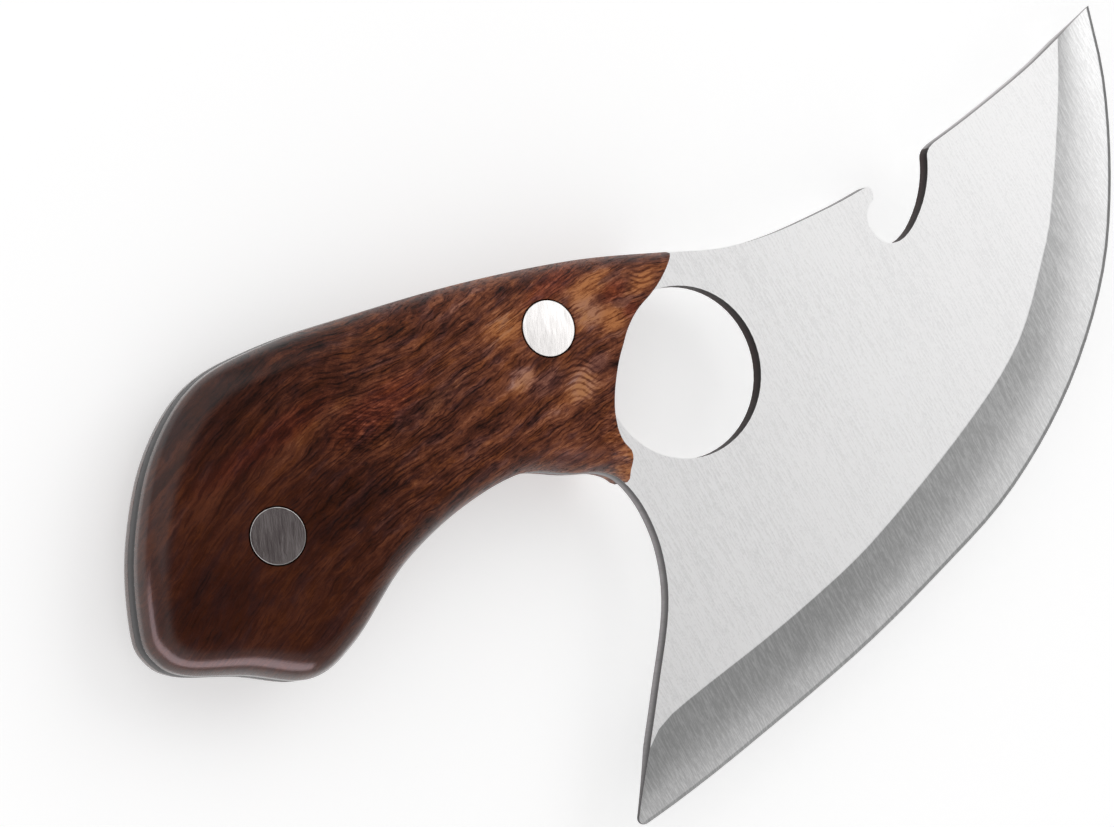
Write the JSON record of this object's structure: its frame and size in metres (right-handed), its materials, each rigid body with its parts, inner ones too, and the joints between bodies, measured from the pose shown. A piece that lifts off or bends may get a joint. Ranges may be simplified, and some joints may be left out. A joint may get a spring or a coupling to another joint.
{
  "type": "cleaver",
  "caption": "Compact full-tang cleaver: crescent blade with a finger hole and a hooked spine notch, and riveted wooden handle scales.",
  "frame": {"origin": "middle of the bounding box, on the underside of the handle scale that the knife lies on", "axes": "+X from the butt towards the point of the blade, along the line of the rivets; +Y from the cutting edge towards the spine; +Z through the thickness, from the back scale to the front scale"},
  "size_m": [0.1794, 0.0908, 0.0191],
  "materials": {
    "satin_steel": "satin, finely brushed",
    "rosewood": "oiled and polished, dark streaks",
    "rivet_steel": "satin, ground flush"
  },
  "bodies": {
    "root": {"blade": "satin_steel", "front_scale": "rosewood", "back_scale": "rosewood", "front_rivet_male": "rivet_steel", "front_rivet_female": "rivet_steel", "rear_rivet_male": "rivet_steel", "rear_rivet_female": "rivet_steel"}
  },
  "joints": []
}
